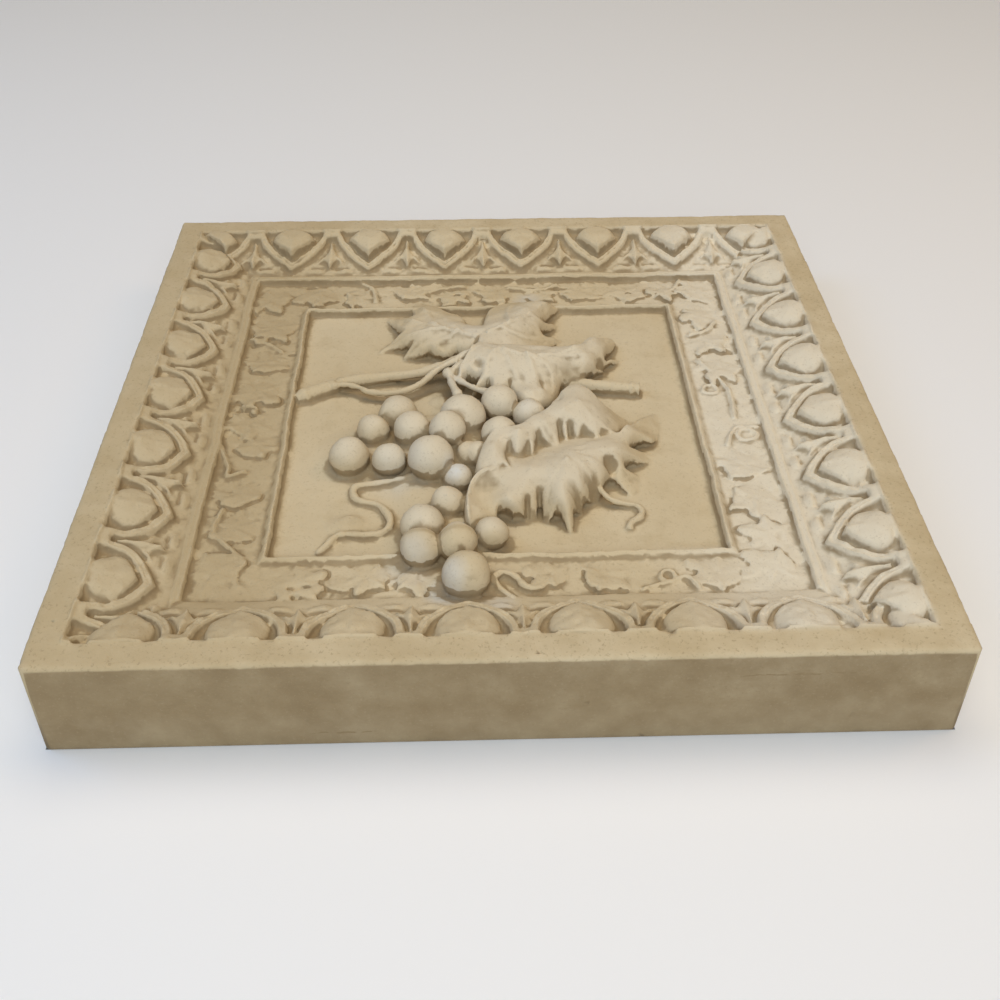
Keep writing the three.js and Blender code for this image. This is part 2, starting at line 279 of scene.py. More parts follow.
PITCH = 37.4
RIM_FOOT = SIDE / 2 - RIM_WIDTH + 0.5
RUN_INNER, RUN_OUTER = 114.6, 141.2
EGG_MIDDLE, EGG_DOWN, EGG_HALF_WIDTH = 131.2, 13.6, 10.8
HUSK_SPAN, HUSK_HALF_WIDTH, HUSK_STEPS = 15.6, 1.8, 22
EGG_RIDGE = 0.35  # the faint ridge down the middle of an egg
POST_HALF_WIDTH, POST_FOOT, POST_RISE = 3.6, 135.2, 3.3  # the post above a dart
HOLE_DEPTH = 3.0
BELL_TOP, BELL_HEM, BELL_SPREAD = 134.8, 122.9, 6.0  # the dart itself, which spreads like a bell
BELL_RISE = 1.5
# Each run is cut a little differently: the reach of its eggs towards the rim, how far eggs and
# husks stand out, and the bend of the husks, where higher is rounder, and their depth.
CUTS = {
    "upper": (9.6, 6.9, 2.6, 1.75, 22), "right": (10.4, 5.8, 3.1, 2.5, 21.5),
    "left": (11, 4.6, 3.0, 3.4, 20), "lower": (13.5, 4.9, 3.7, 3.0, 22),
}
# The place of each run's first egg along its side, from the middle.
EGG_STARTS = {"lower": 25.9, "right": 22.9, "upper": 16.8, "left": 6.1}
MOULDING_WEAR = ((0.45, 6, 16), (0.35, 2.4, 17), (0.15, 1.1, 18))
RIM_LUMPS = (0.1, 9, 12)


def from_line(px, py, line):
    """How far each place is from a line of points, and the share of the line at its foot."""
    best = np.full(px.shape, 1e9)
    share = np.zeros(px.shape)
    count = len(line) - 1
    for k in range(count):
        (ax, ay), (bx, by) = line[k][:2], line[k + 1][:2]
        length = (bx - ax) ** 2 + (by - ay) ** 2
        along = np.clip(((px - ax) * (bx - ax) + (py - ay) * (by - ay)) / length, 0, 1)
        distance = np.hypot(px - ax - along * (bx - ax), py - ay - along * (by - ay))
        near = distance < best
        best[near] = distance[near]
        share[near] = (k + along[near]) / count
    return best, share


def swell(px, py, middle, half_sizes):
    """A soft oval lump: 1 at its middle and 0 from its edge on."""
    reach = ((px - middle[0]) / half_sizes[0]) ** 2 + ((py - middle[1]) / half_sizes[1]) ** 2
    return np.sqrt(np.clip(1 - reach, 0, 1))


def ridge(away, width):
    """A soft ridge: 1 where `away` is 0, and nearly 0 from twice its width on."""
    return np.exp(-((away / width) ** 2))


def egg_and_dart(s, a, egg_up, egg_rise, husk_rise, bend, husk_depth):
    """Height over the slope, from the place along the run and the distance out."""
    from_egg = (s + PITCH / 2) % PITCH - PITCH / 2
    side = np.abs(s % PITCH - PITCH / 2)  # distance from the dart's middle
    way = np.linspace(0, 1, HUSK_STEPS)
    husk = np.stack([HUSK_SPAN * (1 - way**bend), RIM_FOOT - husk_depth * way], 1)
    off, share = from_line(np.abs(from_egg), a, husk)
    half_width = HUSK_HALF_WIDTH + 0.3 * ease(0, 0.5, share)
    within = np.abs(from_egg) < np.interp(a, husk[::-1, 1], husk[::-1, 0])

    # The egg, full at the rim and narrowing to a blunt point below.
    up = (a - EGG_MIDDLE) / np.where(a > EGG_MIDDLE, egg_up, EGG_DOWN)
    upper_half = np.sqrt((1 - np.abs(up) ** 2.8).clip(0.0001, 1))
    narrowed = np.where(up > 0, upper_half, 1 - np.abs(up).clip(0, 0.999) ** 2.4)
    across = (np.abs(from_egg) / (EGG_HALF_WIDTH * narrowed)).clip(0, 1)
    along = 1 - np.abs(up).clip(0, 1) ** np.where(up > 0, 3, 4.5)
    egg = np.sqrt(1 - across**2.2) * np.sqrt(along) * ease(0, 1.3, off - half_width) * within
    rise = egg_rise * egg + EGG_RIDGE * ridge(from_egg, 0.9) * egg

    # The husk round it: a band with two grooves, and a cut line along its outer edge.
    band = 1 - ease(half_width - 0.8, half_width + 0.5, off)
    grooves = 0.8 * ridge(off, 0.5) + 0.4 * ridge(off - 1.5, 0.35)
    rise = np.maximum(rise, (husk_rise - grooves * ease(0.05, 0.3, share)) * band)
    rise -= 0.6 * ridge(off - half_width - 0.4, 0.5) * (egg < 0.4)

    # The post between two husks, with a drilled hole at its foot.
    post = 1 - ease(POST_HALF_WIDTH, POST_HALF_WIDTH + 1.6, side)
    rise = np.maximum(rise, POST_RISE * post * ease(POST_FOOT, POST_FOOT + 2, a))
    rise -= HOLE_DEPTH * swell(side, a, (0, POST_FOOT + 0.2), (1.7, 1.3))

    # The dart: a bell with a pointed hem, a sharp fold down its middle and one on each side.
    spread_out = ((BELL_TOP - a) / 12.4).clip(0, 1)
    flare = 0.9 + BELL_SPREAD * spread_out**2.4
    hem = BELL_HEM - 3.6 * ridge(side, 1.5) + 0.9 * ridge(side - 3.5, 1.2)
    bell = (1 - ease(flare - 1.0, flare + 0.3, side)) * ease(hem - 0.9, hem + 0.5, a)
    bell *= a < BELL_TOP
    folds = 0.9 * ridge(side, 0.8) - 0.6 * ridge(side - 2.6, 1.0)
    rise = np.maximum(rise, (BELL_RISE + 0.9 * spread_out + folds) * bell)

    # The low lumps beside the husk's point, and the line cut above them.
    rise = np.maximum(rise, 1.0 * swell(side, a, (7.2, 117.2), (4.2, 1.9)))
    rise -= 0.9 * ridge(a - 119.6, 0.7) * ease(2.2, 3.2, side) * (1 - ease(8, 10, side))
    return rise


moulding_wear = lumps(front, MOULDING_WEAR)
for (name, a), s in zip(sides.items(), (x, x, y, y)):
    on_run = (a >= out - TOUCH) & (a > RUN_INNER) & (a < RUN_OUTER)
    moulded = egg_and_dart(s[on_run] - EGG_STARTS[name], a[on_run], *CUTS[name])
    moulded += moulding_wear[on_run] * ease(141, 139, a[on_run])
    inside = ease(RUN_INNER, RUN_INNER + 1, a[on_run])
    heights[on_run] = np.minimum(heights[on_run] + moulded * inside, THICKNESS + 0.8)
rim_top = np.interp(out, *zip(*PROFILE)) + lumps(front, [RIM_LUMPS])
heights = np.where(out > RUN_OUTER - 0.3, rim_top, heights)


# ---- Ivy frieze --------------------------------------------------------------------------------
# Low ivy leaves laid over each other between the fillet and the panel's border, each tipped so
# that one edge stands clear, with a few stems and curls.

# Middle x and y, the way the tip points in degrees, its length, and the way the leaf is tipped.
IVY = (
    (-103, 96, 230, 15, 300), (-80, 99, 200, 13, 250), (-60, 97, 290, 12, 200),
    (-38, 101, 20, 11, 270), (-17, 98, 250, 12, 290), (4, 99, 170, 12, 250), (24, 98, 80, 12, 300),
    (42, 99, 30, 12, 240), (68, 98, 120, 13, 280), (86, 101, 200, 12, 260), (100, 98, 60, 15, 200),
    (98, 75, 260, 12, 200), (98, 53, 250, 13, 300), (101, 31, 230, 12, 260),
    (97, -38, 100, 13, 250), (98, -58, 280, 14, 200), (100, -80, 160, 12, 120),
    (98, -97, 200, 13, 90), (77, -100, 150, 13, 250), (37, -100, 20, 12, 230),
    (18, -99, 160, 10, 250), (-29, -100, 340, 11, 260), (-47, -99, 200, 13, 280),
    (-72, -101, 320, 13, 320), (-101, -94, 250, 15, 40), (-98, -71, 80, 13, 250),
    (-99, -51, 110, 12, 280), (-96, -21, 60, 11, 250), (-101, -4, 280, 13, 200),
    (-100, 18, 260, 14, 265), (-98, 40, 100, 12, 250), (-99, 70, 240, 15, 270),
)
# The lobes of an ivy leaf: the way each points, its length as a share, and half its spread.
IVY_LOBES = ((0, 1.0, 40), (62, 0.92, 34), (-62, 0.92, 34), (128, 0.74, 36), (-128, 0.74, 36))
IVY_WAIST = 0.62  # the leaf's reach between its lobes, as a share of its length
IVY_TIP_RISE = 1.35  # how far the raised edge stands above the middle
IVY_SEAM = 1.5  # the depth of the line cut along the raised edge
CURLS = ((103, -18, 5), (93, 15, 4), (59.5, -101, 3.4))  # middle x and y, radius
STEM_RISE, CURL_RISE, PIT_DEPTH = 1.4, 1.3, 1.8
DEEPEST_CUT = 1.6  # nothing in the frieze is cut deeper than this
LEAF_UNEVEN = (1, 4.5, 20)
GROUND_LUMPS = (0.3, 6, 21)
FRIEZE_WEAR = ((0.2, 2.2, 22), (0.12, 1.2, 23))
IVY_STEMS = (
    ((-110, -21), (-105, -34), (-104, -40), (-98, -37)), ((-61, 110), (-55, 104), (-53, 92)),
    ((94, -24), (99, -13), (108, -13)), ((91, 38), (97, 25), (101, 12), (100, -6)),
    ((-92, -88), (-104, -74), (-103, -60)),
    ((50, -107.6), (55, -105.2), (60, -104.1), (66, -101.8), (69.6, -107)),
    ((10, 104), (22, 101), (33, 105)), ((-35, 96), (-25, 103), (-12, 105)),
    ((104, 70), (99, 62), (91, 58)), ((-108, 60), (-99, 56), (-93, 50)),
    ((80, 94), (88, 99), (92, 107)),
)
# Small deep holes between the leaves: middle and half sizes.
IVY_PITS = (
    (21, 104, 2.6, 1.0), (35, 102.5, 3.6, 1.1), (67, 97, 1.6, 1.2), (-15, 97, 1.8, 1.0),
    (-40, 108, 2.4, 0.9), (-85, 107, 2.2, 1.0), (-101, 5, 6.5, 1.0), (-70, -104, 4.5, 1.2),
    (-88, 48, 2.2, 0.9), (-105, 61, 3.0, 1.0),
)


def smooth_line(points, steps, pull=0.5, closed=False):
    """A smooth line through points, with `steps` to a stretch; `pull` sets how round it is."""
    points = np.array(points, float)
    if closed:
        points = np.concatenate([points[-1:], points, points[:2]])
    else:
        points = np.concatenate([points[:1], points, points[-1:]])
    t = np.linspace(0, 1, steps, endpoint=False)[:, None]
    parts = []
    for before, start, end, after in zip(points, points[1:], points[2:], points[3:]):
        leave, arrive = pull * (end - before), pull * (after - start)
        parts.append(
            (2 * t**3 - 3 * t**2 + 1) * start + (t**3 - 2 * t**2 + t) * leave
            + (3 * t**2 - 2 * t**3) * end + (t**3 - t**2) * arrive
        )
    if not closed:
        parts.append(points[-1:])
    return np.concatenate(parts)


def lay_ivy(leaf, px, py, ground, uneven):
    """The leaf's own height where it lies, and the ground elsewhere."""
    middle_x, middle_y, pointing, length, tipped = leaf
    dx, dy = px - middle_x, py - middle_y
    reach = np.hypot(dx, dy) * (1 + 0.16 * uneven)
    turn = np.degrees(np.arctan2(dy, dx)) - pointing + 14 * uneven
    edge = np.full(px.shape, IVY_WAIST * length)
    vein = np.zeros(px.shape)
    for lobe, size, half_turn in IVY_LOBES:
        off = np.abs((turn - lobe + 180) % 360 - 180)
        edge = np.maximum(edge, length * size * (1 - 0.75 * (off / half_turn) ** 1.8))
        beside = reach * np.sin(np.radians(off.clip(0, 90)))
        vein = np.maximum(vein, ridge(beside, 0.5) * (off < 60))
    share = reach / edge
    tilt = np.cos(np.radians(turn + pointing - tipped)) * reach / length
    top = FRIEZE_Z + 0.5 + IVY_TIP_RISE * tilt - 0.3 * share**6
    top += 0.4 * vein * (share > 0.15) + 0.3 * uneven
    seam = ground - IVY_SEAM * ridge((share - 1.04) * length, 0.55) * (tilt > 0.15)
    return np.where(share < 1, np.maximum(top, ground - 0.3), seam)


on_frieze = (from_middle > FRIEZE_INNER - 1) & (out < FRIEZE_OUTER + 0.6)
fx, fy = x[on_frieze], y[on_frieze]
uneven = lumps(front[on_frieze], [LEAF_UNEVEN])
ground = heights[on_frieze] + lumps(front[on_frieze], [GROUND_LUMPS])
for leaf in IVY:
    ground = lay_ivy(leaf, fx, fy, ground, uneven)
for line in IVY_STEMS:
    off = from_line(fx, fy, smooth_line(line, 5))[0]
    ground = np.maximum(ground, FRIEZE_Z + STEM_RISE + 0.5 * uneven - off**2)
for middle_x, middle_y, radius in CURLS:
    off = np.abs(np.hypot(fx - middle_x, fy - middle_y) * (1 + 0.15 * uneven) - radius * 0.75)
    ground = np.maximum(ground, FRIEZE_Z + CURL_RISE + 0.5 * uneven - (off / 0.9) ** 2)
for middle_x, middle_y, half_width, half_height in IVY_PITS:
    pit = swell(fx, fy, (middle_x, middle_y), (half_width, half_height))
    ground -= PIT_DEPTH * pit * (1 + 0.5 * uneven)
ground += lumps(front[on_frieze], FRIEZE_WEAR)
blend_in = ease(FRIEZE_INNER - 1, FRIEZE_INNER + 0.4, from_middle[on_frieze])
ground = np.maximum(heights[on_frieze] - DEEPEST_CUT, ground)
heights[on_frieze] += blend_in * (ground - heights[on_frieze])


# ---- Panel ground and chips ----------------------------------------------------------------------
# The panel swells softly under the bunch, and the rim's edges have lost small chips. Then the
# block's sides and back are drawn out of the front's edge.

# Swellings of the panel: middle x and y, half sizes, and rise.
MOUNDS = (
    (-18, -20, 28, 23, 8), (-18, -82, 17, 24, 6), (-24, -50, 16, 22, 3), (-46, -22, 26, 20, 2),
    (-22, 10, 13, 11, 1.6), (-56, -68, 9, 7, 1.6),
)
CHIPS = 80
CHIP_SIZES = (0.4, 1.6)
CHIP_DEPTH = 0.3  # as a share of the chip's size
CHIPPED_ABOVE = 36  # chips are only on the rim

for middle_x, middle_y, half_width, half_height, rise in MOUNDS:
    lump = swell(x, y, (middle_x, middle_y), (half_width, half_height)) ** 2
    heights = np.where(from_middle < 83, np.maximum(heights, PANEL_Z + rise * lump), heights)
luck = np.random.default_rng(31)
for _ in range(CHIPS):
    along, size = luck.uniform(-SIDE / 2, SIDE / 2), luck.uniform(*CHIP_SIZES) ** 1.4
    place = [along, luck.choice([-1, 1]) * luck.choice([SIDE / 2, SIDE / 2, RIM_FOOT])]
    if luck.random() < 0.5:
        place.reverse()
    near = np.hypot(x - place[0], y - place[1])
    heights -= CHIP_DEPTH * size * (1 - ease(0.2 * size, size, near)) * (heights > CHIPPED_ABOVE)

for vertex, height in zip(list(model.verts), heights):
    vertex.co.z = height
rim_edge = [edge for edge in model.edges if edge.is_boundary]
walls = bmesh.ops.extrude_edge_only(model, edges=rim_edge)["geom"]
for corner in walls:
    if isinstance(corner, bmesh.types.BMVert):
        corner.co.z = 0
back_edge = [e for e in walls if isinstance(e, bmesh.types.BMEdge) and e.is_boundary]
bmesh.ops.edgeloop_fill(model, edges=back_edge)


# ---- Vine leaves -------------------------------------------------------------------------------
# Five crumpled vine leaves, swelling off the panel, with teeth that droop steeply to it. Points are
# x, y and height above the panel. A dent has a middle, half sizes and a depth, a lip is a line
# along which the edge is turned up, and a calm leaf is crumpled less.

LEAF_STEP = 0.5
LEAVES = {
    "upper_left": {
        "calm": 0,
        "edge": (
            (-4, 46, 12), (-9, 41, 9), (-12, 40.5, 7), (-15, 43, 8), (-19, 41, 6), (-24.5, 43, 6),
            (-27, 45, 7), (-31, 43.5, 4), (-37.5, 44.5, 1.5), (-38.5, 46, 1.5), (-34.6, 50, 7),
            (-37, 50.5, 6), (-45, 51.5, 2), (-49.4, 50.5, 1.2), (-48.8, 52.5, 1.5),
            (-39.3, 59.5, 7), (-40.3, 62, 7), (-46, 75, 2), (-47, 79, 1.5), (-41.3, 77, 3),
            (-35, 74, 6), (-35.5, 84, 3.5), (-34.8, 90, 2.5), (-32.5, 90, 3), (-26, 86, 4),
            (-19.4, 79, 4.5), (-14, 77, 4), (-11, 67.4, 7), (-8, 62, 8), (-2, 58, 10), (0, 50, 12),
        ),
        "inside": (
            (-29, 52, 10.5), (-14, 49, 12), (-20, 53, 12), (-25, 59, 10.5), (-29, 77, 7.5),
            (-15, 66, 8.5),
        ),
        "veins": (
            ((-6, 46), (-14, 50), (-21, 54), (-26, 61), (-28, 72), (-32, 84)),
            ((-20, 53), (-32, 54), (-44, 52)), ((-24, 58), (-34, 65), (-43, 75)),
            ((-14, 50), (-24, 46), (-35, 45)),
        ),
        "dents": ((-10.5, 64, 2.5, 3, 3),),
        "lips": (),
    },
    "upper_right": {
        "calm": 0,
        "edge": (
            (-6, 40, 13), (-4, 51, 11), (-2.5, 67, 8), (0, 80, 5), (6, 86, 4.5), (16.5, 87, 4.5),
            (25.7, 86, 5), (32.5, 87, 3), (33.6, 84.5, 2), (27, 73.5, 6), (24.4, 68.2, 8),
            (25.5, 67, 5), (30.3, 71.5, 1.5), (30, 68, 1.5), (23.1, 60, 8), (24.6, 57, 5),
            (31.9, 58.5, 1.5), (30.9, 56.5, 1.5), (25, 48, 4), (22, 36, 7), (12, 34, 8),
            (0, 33, 11),
        ),
        "inside": (
            (-1, 50, 13), (9, 55, 14), (18, 65, 13), (25, 79, 10), (16, 50.5, 9), (8, 70, 9.5),
            (4, 42, 12),
        ),
        "veins": (
            ((-1, 48), (9, 55), (18, 64), (25, 77), (31, 83)), ((9, 55), (8, 70), (11, 82)),
            ((4, 51), (16, 49), (29, 57)), ((18, 64), (24, 64), (29, 69)),
        ),
        "dents": ((5, 62, 5, 6, 1.2),),
        "lips": (),
    },
    "middle_right": {
        "calm": 0.1,
        "edge": (
            (-5.3, 40.6, 13), (2.4, 38, 12), (12, 38, 12), (22, 38.5, 11), (30.7, 37.5, 10.5),
            (38.8, 41, 10), (45.5, 48.5, 9), (54, 54, 5), (56, 51, 4), (50, 38.5, 9), (50, 34, 7),
            (56, 40.5, 2), (55.4, 38.5, 2), (45.6, 29, 9.5), (45.7, 27, 7), (48.6, 31, 2),
            (48.2, 29.5, 2), (39, 21, 8.5), (38, 19, 5), (32.8, 18, 6), (29.4, 17, 8),
            (27.5, 10, 6), (25, 3, 7), (19, -3, 10), (13.5, -2, 11), (10, 4, 10.5), (8.5, 8, 10),
            (7.5, 11.5, 11), (6.2, 9.4, 10.5), (2.5, 7.2, 10), (0, 7.6, 10), (-0.6, 12.5, 12),
            (-2.4, 13.3, 12), (-4.9, 11.2, 10), (-7.8, 9.3, 8), (-8.5, 9.8, 8), (-4.8, 16.8, 12),
            (-8, 19.5, 13), (-11, 20, 12), (-13.2, 15.9, 9), (-14.6, 17, 9), (-14.8, 20, 10.5),
            (-13.5, 23.5, 12), (-11.4, 27.3, 13.5), (-8.8, 34.3, 14),
        ),
        "inside": (
            (4.8, 30, 16), (15.5, 24, 16), (24, 25.2, 15.5), (35.5, 32, 14.5), (45, 43, 12.3),
            (11, 18, 14.5), (28, 21, 12.5), (-3.8, 25.5, 15), (20, 31, 13), (40, 27, 12),
            (19, 4, 12.5),
        ),
        "veins": (
            ((-2, 37), (5, 30), (15, 25), (25, 26), (36, 32), (44, 41), (53, 51)),
            ((25, 26), (38, 28), (47, 33), (54, 38)), ((15, 25), (25, 18), (26, 8)),
            ((5, 30), (8, 20), (12, 8), (17, 0)), ((3, 31), (-2, 22), (-3, 14)),
            ((15, 25), (18, 14), (21, 3)),
        ),
        "dents": ((-6, 21, 3, 3.5, 2), (20.5, 8, 2.2, 4, 1.5)),
        "lips": (((-13, 17), (-13.5, 22), (-11, 28), (-8, 34)),),
    },
    "lower": {
        "calm": 0.5,
        "edge": (
            (49, -24, 10), (52, -19.5, 10), (58.5, -10.5, 6), (64.5, -3, 2), (68, 0, 0.6),
            (69, -5, 0.2), (67, -16, 0.2), (63.5, -22.5, 4), (59.5, -22.7, 6), (55, -26, 8),
            (53.5, -30, 7), (60, -27, 0.5), (65, -29, 0.2), (60, -34, 1.5), (54, -36.5, 7),
            (50.5, -39, 8), (50.5, -42, 6), (56, -41.5, 0.3), (56, -47, 0.2), (52.5, -54, 0.3),
            (49, -50.5, 3), (45, -46, 5), (41.6, -50.5, 9), (40.2, -54, 6), (38.2, -58.5, 0.3),
            (36.5, -58.5, 0.3), (34, -60, 9), (32.6, -60.5, 8), (32, -64, 0.5), (30.6, -64.5, 0.5),
            (29.2, -65.5, 8), (28.2, -67, 7), (27.8, -75, 0.3), (26.7, -75, 0.3), (24, -68, 8),
            (22, -66.5, 10), (20.4, -68, 4), (18.8, -69, 0.5), (17.4, -68, 0.5), (17, -60, 9),
            (15.4, -59.5, 9), (14.6, -66.5, 1), (12.6, -67, 1), (12.2, -62.5, 9), (10.8, -63, 9),
            (10.4, -67.5, 3), (9, -68, 8), (5, -67.4, 10), (1.3, -65.4, 10), (0, -66, 9),
            (-0.6, -69.5, 5), (-4.5, -72, 6.5), (-9.6, -76.6, 7), (-11.7, -74.1, 9),
            (-11.9, -68, 10), (-11.7, -62.8, 10), (-10.2, -55, 10.5), (-7.9, -51.5, 11.5),
            (-3, -42, 12), (4, -28, 9), (18, -20, 8), (34, -14, 8), (44, -14, 8),
        ),
        "inside": (
            (27.8, -46, 14.5), (24.7, -58, 13.5), (24.5, -64, 11), (21.3, -57, 12.5),
            (30, -51, 14.5), (32.7, -54.2, 12.5), (46.5, -38, 12), (35.4, -39, 13), (58, -16, 5.5),
            (53.7, -25, 9.5), (52, -46, 2.5), (47, -43, 8.5), (11, -50, 12.5), (3, -56, 10.5),
            (-3, -59, 9), (-4, -67, 8), (6, -63, 10.5), (10, -37, 8), (18, -32, 8), (26, -28, 8.5),
            (34, -26, 8.5), (42, -25, 8.5), (-5.5, -53.5, 11.5), (19, -45, 12), (40, -46, 11.5),
        ),
        "veins": (
            ((20, -38), (27, -46), (25, -56), (25, -64), (27, -74)),
            ((27, -47), (21, -55), (18, -63)), ((27, -47), (31, -54), (32, -62)),
            ((30, -44), (40, -47), (47, -50), (52, -54)), ((30, -42), (46, -38), (58, -34)),
            ((32, -38), (48, -29), (64, -23)), ((36, -34), (52, -22), (64, -4)),
            ((15, -43), (12, -54), (9, -65)), ((30, -46), (35, -52), (37, -56)),
        ),
        "dents": ((-3.5, -61, 7.5, 9.5, 1.8), (44.5, -43.5, 3.6, 3.2, 3.4)),
        "lips": (((-10.6, -75), (-11, -68), (-10.8, -62), (-9.3, -56), (-6, -52), (0, -49.5)),),
    },
    "centre": {
        "calm": 0.55,
        "edge": (
            (9.3, -24.8, 15), (15, -18.5, 14.5), (22, -12.5, 15), (24, -6, 13.5), (28, 0, 13.5),
            (31.5, 4.4, 13.5), (35.5, 5, 13.2), (40, 2.6, 12.5), (44, -1.5, 10), (48, -2.6, 6),
            (54, -3.5, 1), (57, -6.5, 0.2), (53, -13, 4), (50.5, -20.5, 6), (47, -24, 8),
            (43, -24, 11), (42, -27, 9), (40.7, -28, 9), (35.4, -24.5, 13.5), (33.3, -28.5, 9),
            (31.9, -28.5, 9), (30.4, -23, 13.5), (29.3, -23.5, 13.5), (29.5, -29.5, 9),
            (28, -29.5, 9), (26.4, -23, 13.5), (25.3, -24, 13.5), (26.3, -35.5, 8.5),
            (24.3, -36, 8.5), (20.5, -31.5, 11), (17, -28.5, 14), (16.3, -31, 13), (15.2, -38, 8.5),
            (13.8, -38, 8.5), (13, -34, 13), (12, -36, 13), (10, -39.5, 10), (7.6, -39.5, 10),
            (6, -35, 13.5), (4.8, -36, 13.5), (4.2, -41.5, 12), (7.3, -53, 10), (6, -50.5, 12),
            (2.6, -48.6, 13.5), (0.8, -51, 11), (-2, -50, 12.5), (-7, -49.5, 11), (-7.6, -44.3, 11),
            (-5.8, -36, 12), (-3.4, -30.3, 13), (-1, -27.5, 15), (4, -25.5, 14.5),
        ),
        "inside": (
            (-0.9, -38, 15.5), (0.4, -43.3, 14.5), (33.7, -13.8, 17.6), (37, -17.4, 15.5),
            (20.7, -25, 16.5), (27, -19, 17), (9.6, -31.5, 17), (8.2, -37, 15.5), (40, -21.5, 13.5),
            (33.5, 0.5, 15), (29.8, -8.2, 16), (31.6, -2.5, 15.6), (38, -4, 14.2), (46, -8, 9.5),
            (20, -18, 15), (13, -28, 16),
        ),
        "veins": (
            ((0, -33), (9, -31), (20, -25), (28, -18), (34, -13), (33, -6)),
            ((34, -13), (42, -10), (51, -2)), ((34, -13), (40, -20), (47, -22)),
            ((20, -25), (24, -30), (25, -35)), ((3, -31), (0, -38), (0, -49)), ((9, -31), (9, -38)),
            ((28, -18), (31, -27)), ((14, -29), (15, -36)), ((37, -17), (41, -26)),
        ),
        "dents": ((26, -6, 2.5, 5, 1.5),),
        "lips": (),
    },
}
EDGE_ROLL = 1.9  # how far in from its edge a leaf reaches its full height
EDGE_DROP = 0.42  # height of the very edge, as a share
UNDERCUT = 3.6  # how far the stone is cut away below the edges that face down the plaque
EDGE_SPREAD = 0.6  # how far the stone reaches past the edge's points
LIP_RISE, LIP_WIDTH = 1.3, 0.9
VEIN_RISE, VEIN_WIDTH = 1.0, 1.0
TROUGH_SHARE, TROUGH_WIDTH = 0.45, 2.8  # the hollow along both sides of a vein
CRUMPLE, CRUMPLE_SIZES = 0.55, (5, 2.2)
SURFACE_ROUNDING, SURFACE_LOOSENESS = 9, 0.6  # how softly a leaf passes its fixed points


def spread(fixed, places):
    """A soft surface through fixed points [x, y, height], read at places."""
    def pull(ends):
        square = ((ends[:, None, :2] - fixed[None, :, :2]) ** 2).sum(2)
        return np.sqrt(square + SURFACE_ROUNDING)

    level = fixed[:, 2].mean()
    loosened = pull(fixed) - SURFACE_LOOSENESS * np.eye(len(fixed))
    weights = np.linalg.solve(loosened, fixed[:, 2] - level)
    return level + pull(places) @ weights


def encloses(px, py, loop):
    """Which places lie inside a closed loop of points."""
    inside = np.zeros(px.shape, bool)
    for (ax, ay), (bx, by) in zip(loop[:, :2], np.roll(loop[:, :2], -1, 0)):
        crosses = (ay > py) != (by > py)
        with np.errstate(divide="ignore", invalid="ignore"):
            inside ^= crosses & (px < (bx - ax) * (py - ay) / (by - ay) + ax)
    return inside


def carve_leaf(leaf, seed):
    """A leaf as a closed plate, from its upper side down into the panel."""
    loop = smooth_line(leaf["edge"], 4, 0.3, closed=True)
    low, high = loop[:, :2].min(0) - LEAF_STEP, loop[:, :2].max(0) + LEAF_STEP
    steps = np.ceil((high - low) / LEAF_STEP).astype(int)
    plate = bmesh.new()
    spot = Matrix.Translation((*((low + high) / 2), 0)) @ Matrix.Diagonal((*(high - low) / 2, 1, 1))
    bmesh.ops.create_grid(plate, x_segments=steps[0], y_segments=steps[1], size=1, matrix=spot)
    points = np.array([v.co for v in plate.verts])
    px, py = points[:, 0], points[:, 1]
    away = from_line(px, py, [*loop, loop[0]])[0]
    away[~encloses(px, py, loop)] *= -1
    away += EDGE_SPREAD
    fixed = np.concatenate([np.array(leaf["edge"], float), np.array(leaf["inside"], float)])
    height = spread(fixed, points)
    for vein in leaf["veins"]:
        off, share = from_line(px, py, smooth_line(vein, 4))
        fold = ridge(off, VEIN_WIDTH) - TROUGH_SHARE * ridge(off, TROUGH_WIDTH)
        height += VEIN_RISE * (1 - leaf["calm"]) * (1 - 0.3 * share) * fold
    for middle_x, middle_y, half_width, half_height, depth in leaf["dents"]:
        height -= depth * swell(px, py, (middle_x, middle_y), (half_width, half_height)) ** 2
    for lip in leaf["lips"]:
        height += LIP_RISE * ridge(from_line(px, py, smooth_line(lip, 4))[0], LIP_WIDTH)
    crumple = CRUMPLE * (1 - 0.7 * leaf["calm"]) * ease(0, 2, away)
    large, small = CRUMPLE_SIZES
    height += crumple * (cloud(points + seed, large, seed) + 0.5 * cloud(points, small, seed + 1))
    rolled = EDGE_DROP + (1 - EDGE_DROP) * np.sqrt(1 - (1 - (away / EDGE_ROLL).clip(0, 1)) ** 2)
    height = -1 + (height + 1) * rolled
    for vertex, top in zip(plate.verts, height):
        vertex.co.z = PANEL_Z + top
    spare = [v for v, gap in zip(plate.verts, away) if gap < 0]
    bmesh.ops.delete(plate, geom=spare, context="VERTS")
    drawn = bmesh.ops.extrude_face_region(plate, geom=list(plate.faces))["geom"]
    for corner in drawn:
        if isinstance(corner, bmesh.types.BMVert):
            corner.co.y += UNDERCUT
            corner.co.z = PANEL_Z - 2
    return plate


def add_to_model(part):
    """Moves a finished part into the whole model."""
    carried = bpy.data.meshes.new("part")
    part.to_mesh(carried)
    part.free()
    model.from_mesh(carried)
    bpy.data.meshes.remove(carried)


for seed, leaf in enumerate(LEAVES.values()):
    add_to_model(carve_leaf(leaf, 40 + 2 * seed))


# ---- Grapes ------------------------------------------------------------------------------------
# A hanging bunch of round grapes, one over the other up to the plaque's highest point, and sunk
# into the panel behind them. Three have a small nub at the tip.

